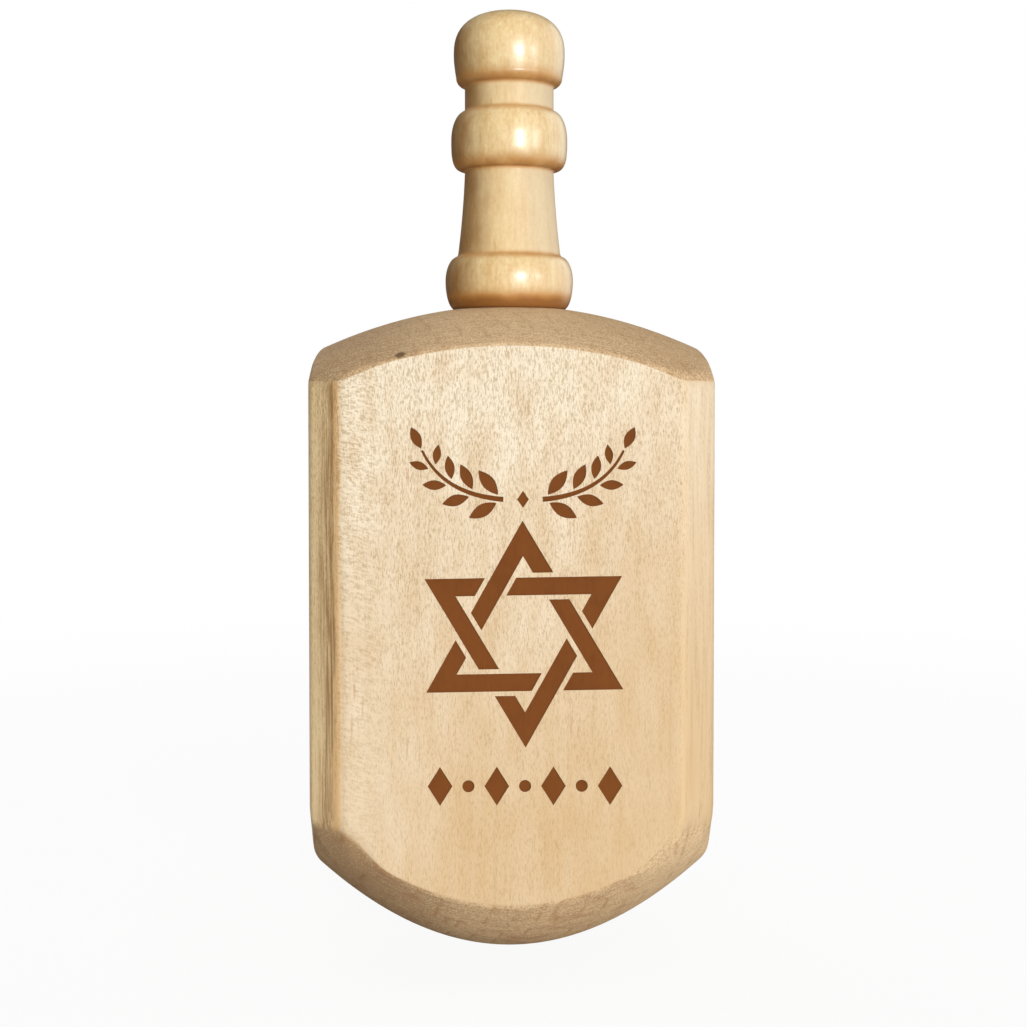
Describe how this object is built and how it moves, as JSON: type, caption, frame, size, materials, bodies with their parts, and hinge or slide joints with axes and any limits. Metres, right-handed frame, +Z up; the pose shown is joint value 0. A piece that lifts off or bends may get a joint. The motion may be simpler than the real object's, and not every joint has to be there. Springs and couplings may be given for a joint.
{
  "type": "dreidel",
  "caption": "Four-sided wooden spinning top: square block with turned crown and spinning tip, and a beaded turned handle glued in its crown.",
  "frame": {"origin": "the spinning tip, at the middle of the turned bottom and the lowest point of the part", "axes": "+Z up the spin axis to the knob of the handle, the decorated front flat faces -Y, +X to the right of someone who looks at the front"},
  "size_m": [0.0286, 0.0286, 0.0711],
  "materials": {
    "block_wood": "pale fine-grained hardwood, sanded, thin matt oil, grain upright",
    "handle_wood": "pale yellow hardwood, turned, clear gloss lacquer"
  },
  "bodies": {
    "root": {"block": "block_wood", "handle": "handle_wood"}
  },
  "joints": []
}
